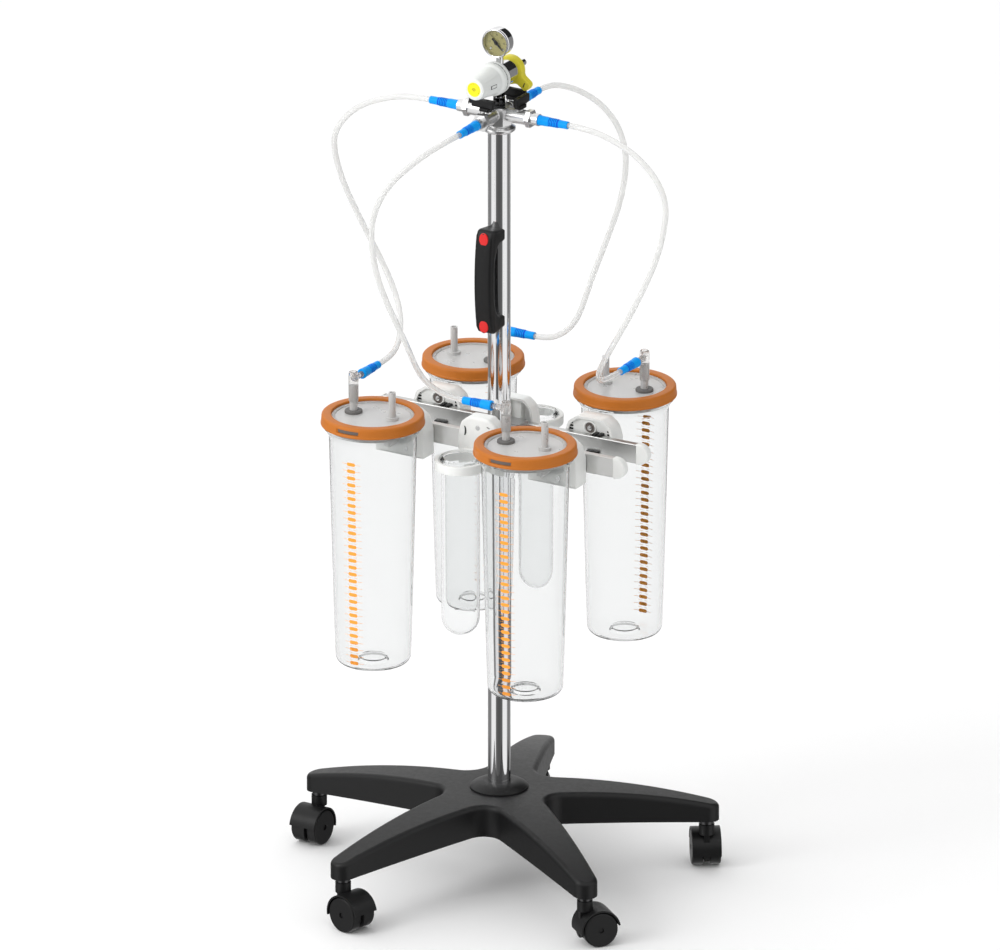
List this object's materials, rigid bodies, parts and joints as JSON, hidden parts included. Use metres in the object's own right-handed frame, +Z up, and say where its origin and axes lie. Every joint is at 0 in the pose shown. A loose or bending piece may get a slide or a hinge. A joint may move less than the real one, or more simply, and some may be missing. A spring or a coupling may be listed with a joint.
{
  "type": "suction trolley",
  "caption": "Mobile vacuum suction trolley: castored star base, chrome pole with rails, clear lidded jars, catheter jars, valve manifold, hoses, regulator and gauge.",
  "frame": {"origin": "on the floor under the axis of the pole", "axes": "+Z up, X along the two rails, the gauge and the handle on the -Y side"},
  "size_m": [0.5962, 0.6108, 1.2535],
  "materials": {
    "charcoal_plastic": "fine-grained moulded",
    "black_plastic": "moulded",
    "wheel_tyre": "hard moulded tread",
    "chrome_plate": "polished",
    "zinc_steel": "zinc plated",
    "rail_steel": "brushed along its length",
    "clamp_metal": "satin",
    "white_plastic": "moulded, satin",
    "knob_plastic": "moulded, satin",
    "clear_plastic": "clear polycarbonate",
    "frosted_plastic": "frosted, translucent",
    "orange_plastic": "moulded, satin",
    "gasket_rubber": "soft",
    "filter_felt": "porous felt",
    "red_plastic": "moulded",
    "blue_rubber": "soft moulded, ribbed",
    "clear_hose": "clear silicone",
    "yellow_plastic": "moulded",
    "dial_paint": "printed face",
    "needle_paint": "black",
    "lens_clear": "clear"
  },
  "bodies": {
    "trolley_frame": {"base_star": "charcoal_plastic", "bracket_jaws": "black_plastic", "bracket_screws": "zinc_steel", "castor_stems": "zinc_steel", "catheter_holder_back": "white_plastic", "catheter_holder_front": "white_plastic", "gauge_case": "chrome_plate", "gauge_dial": "dial_paint", "gauge_lens": "lens_clear", "handle": "charcoal_plastic", "handle_caps": "red_plastic", "hose_1": "clear_hose", "hose_2": "clear_hose", "hose_3": "clear_hose", "hose_4": "clear_hose", "hose_connectors": "blue_rubber", "hub_bolt": "zinc_steel", "hub_collar": "black_plastic", "jar_1": "clear_plastic", "jar_2": "clear_plastic", "jar_3": "clear_plastic", "jar_4": "clear_plastic", "jar_brackets": "white_plastic", "lid_1": "frosted_plastic", "lid_2": "frosted_plastic", "lid_3": "frosted_plastic", "lid_4": "frosted_plastic", "lid_rings": "orange_plastic", "manifold": "chrome_plate", "overflow_filters": "filter_felt", "pole": "chrome_plate", "port_elbows": "frosted_plastic", "port_gaskets": "gasket_rubber", "rail_back": "rail_steel", "rail_bolts": "zinc_steel", "rail_clamps": "clamp_metal", "rail_end_caps": "white_plastic", "rail_front": "rail_steel", "regulator_body": "chrome_plate", "valve_bodies": "chrome_plate"},
    "castor_hood_1_body": {"castor_hood_1": "charcoal_plastic"},
    "castor_wheels_1_body": {"castor_wheels_1": "wheel_tyre"},
    "castor_hood_2_body": {"castor_hood_2": "charcoal_plastic"},
    "castor_wheels_2_body": {"castor_wheels_2": "wheel_tyre"},
    "castor_hood_3_body": {"castor_hood_3": "charcoal_plastic"},
    "castor_wheels_3_body": {"castor_wheels_3": "wheel_tyre"},
    "castor_hood_4_body": {"castor_hood_4": "charcoal_plastic"},
    "castor_wheels_4_body": {"castor_wheels_4": "wheel_tyre"},
    "castor_hood_5_body": {"castor_hood_5": "charcoal_plastic"},
    "castor_wheels_5_body": {"castor_wheels_5": "wheel_tyre"},
    "valve_lever_1_body": {"valve_lever_1": "black_plastic"},
    "valve_lever_2_body": {"valve_lever_2": "black_plastic"},
    "valve_lever_3_body": {"valve_lever_3": "black_plastic"},
    "valve_lever_4_body": {"valve_lever_4": "black_plastic"},
    "control_knob_body": {"control_knob": "knob_plastic"},
    "selector_ring_body": {"selector_ring": "yellow_plastic"},
    "gauge_needle_body": {"gauge_needle": "needle_paint"},
    "catheter_jar_front_body": {"catheter_jar_front": "clear_plastic"},
    "catheter_jar_back_body": {"catheter_jar_back": "clear_plastic"}
  },
  "joints": [
    {"name": "castor_swivel_1", "type": "hinge", "parent": "trolley_frame", "child": "castor_hood_1_body", "pos_m": [-0.292, 0, 0.051], "axis": [0, 0, 1], "continuous": true},
    {"name": "castor_roll_1", "type": "hinge", "parent": "castor_hood_1_body", "child": "castor_wheels_1_body", "pos_m": [-0.29289, -0.01698, 0.025], "axis": [0.9986, -0.0523, 0], "continuous": true},
    {"name": "castor_swivel_2", "type": "hinge", "parent": "trolley_frame", "child": "castor_hood_2_body", "pos_m": [-0.09023, -0.27771, 0.051], "axis": [0, 0, 1], "continuous": true},
    {"name": "castor_roll_2", "type": "hinge", "parent": "castor_hood_2_body", "child": "castor_wheels_2_body", "pos_m": [-0.07381, -0.28211, 0.025], "axis": [0.2588, 0.9659, 0], "continuous": true},
    {"name": "castor_swivel_3", "type": "hinge", "parent": "trolley_frame", "child": "castor_hood_3_body", "pos_m": [0.23623, -0.17163, 0.051], "axis": [0, 0, 1], "continuous": true},
    {"name": "castor_roll_3", "type": "hinge", "parent": "castor_hood_3_body", "child": "castor_wheels_3_body", "pos_m": [0.24716, -0.15861, 0.025], "axis": [-0.766, 0.6428, 0], "continuous": true},
    {"name": "castor_swivel_4", "type": "hinge", "parent": "trolley_frame", "child": "castor_hood_4_body", "pos_m": [0.23623, 0.17163, 0.051], "axis": [0, 0, 1], "continuous": true},
    {"name": "castor_roll_4", "type": "hinge", "parent": "castor_hood_4_body", "child": "castor_wheels_4_body", "pos_m": [0.22648, 0.18556, 0.025], "axis": [-0.8192, -0.5736, 0], "continuous": true},
    {"name": "castor_swivel_5", "type": "hinge", "parent": "trolley_frame", "child": "castor_hood_5_body", "pos_m": [-0.09023, 0.27771, 0.051], "axis": [0, 0, 1], "continuous": true},
    {"name": "castor_roll_5", "type": "hinge", "parent": "castor_hood_5_body", "child": "castor_wheels_5_body", "pos_m": [-0.10496, 0.26921, 0.025], "axis": [0.5, -0.866, 0], "continuous": true},
    {"name": "valve_turn_1", "type": "hinge", "parent": "trolley_frame", "child": "valve_lever_1_body", "pos_m": [-0.032, 0, 1.144], "axis": [0, 0, -1], "range_deg": [0, 90]},
    {"name": "valve_turn_2", "type": "hinge", "parent": "trolley_frame", "child": "valve_lever_2_body", "pos_m": [0, -0.032, 1.144], "axis": [0, 0, 1], "range_deg": [0, 90]},
    {"name": "valve_turn_3", "type": "hinge", "parent": "trolley_frame", "child": "valve_lever_3_body", "pos_m": [0, 0.032, 1.144], "axis": [0, 0, 1], "range_deg": [0, 90]},
    {"name": "valve_turn_4", "type": "hinge", "parent": "trolley_frame", "child": "valve_lever_4_body", "pos_m": [0.032, 0, 1.144], "axis": [0, 0, -1], "range_deg": [0, 90]},
    {"name": "control_knob_turn", "type": "hinge", "parent": "trolley_frame", "child": "control_knob_body", "pos_m": [0, -0.02, 1.183], "axis": [0, -1, 0], "range_deg": [0, 300]},
    {"name": "selector_ring_turn", "type": "hinge", "parent": "trolley_frame", "child": "selector_ring_body", "pos_m": [0, 0.032, 1.183], "axis": [0, -1, 0], "range_deg": [0, 90]},
    {"name": "gauge_needle_turn", "type": "hinge", "parent": "trolley_frame", "child": "gauge_needle_body", "pos_m": [0, -0.0085, 1.233], "axis": [0, -1, 0], "range_deg": [0, 270]},
    {"name": "catheter_jar_front_lift", "type": "slide", "parent": "trolley_frame", "child": "catheter_jar_front_body", "axis": [0, 0, 1], "range_m": [0, 0.26]},
    {"name": "catheter_jar_back_lift", "type": "slide", "parent": "trolley_frame", "child": "catheter_jar_back_body", "axis": [0, 0, 1], "range_m": [0, 0.26]}
  ]
}
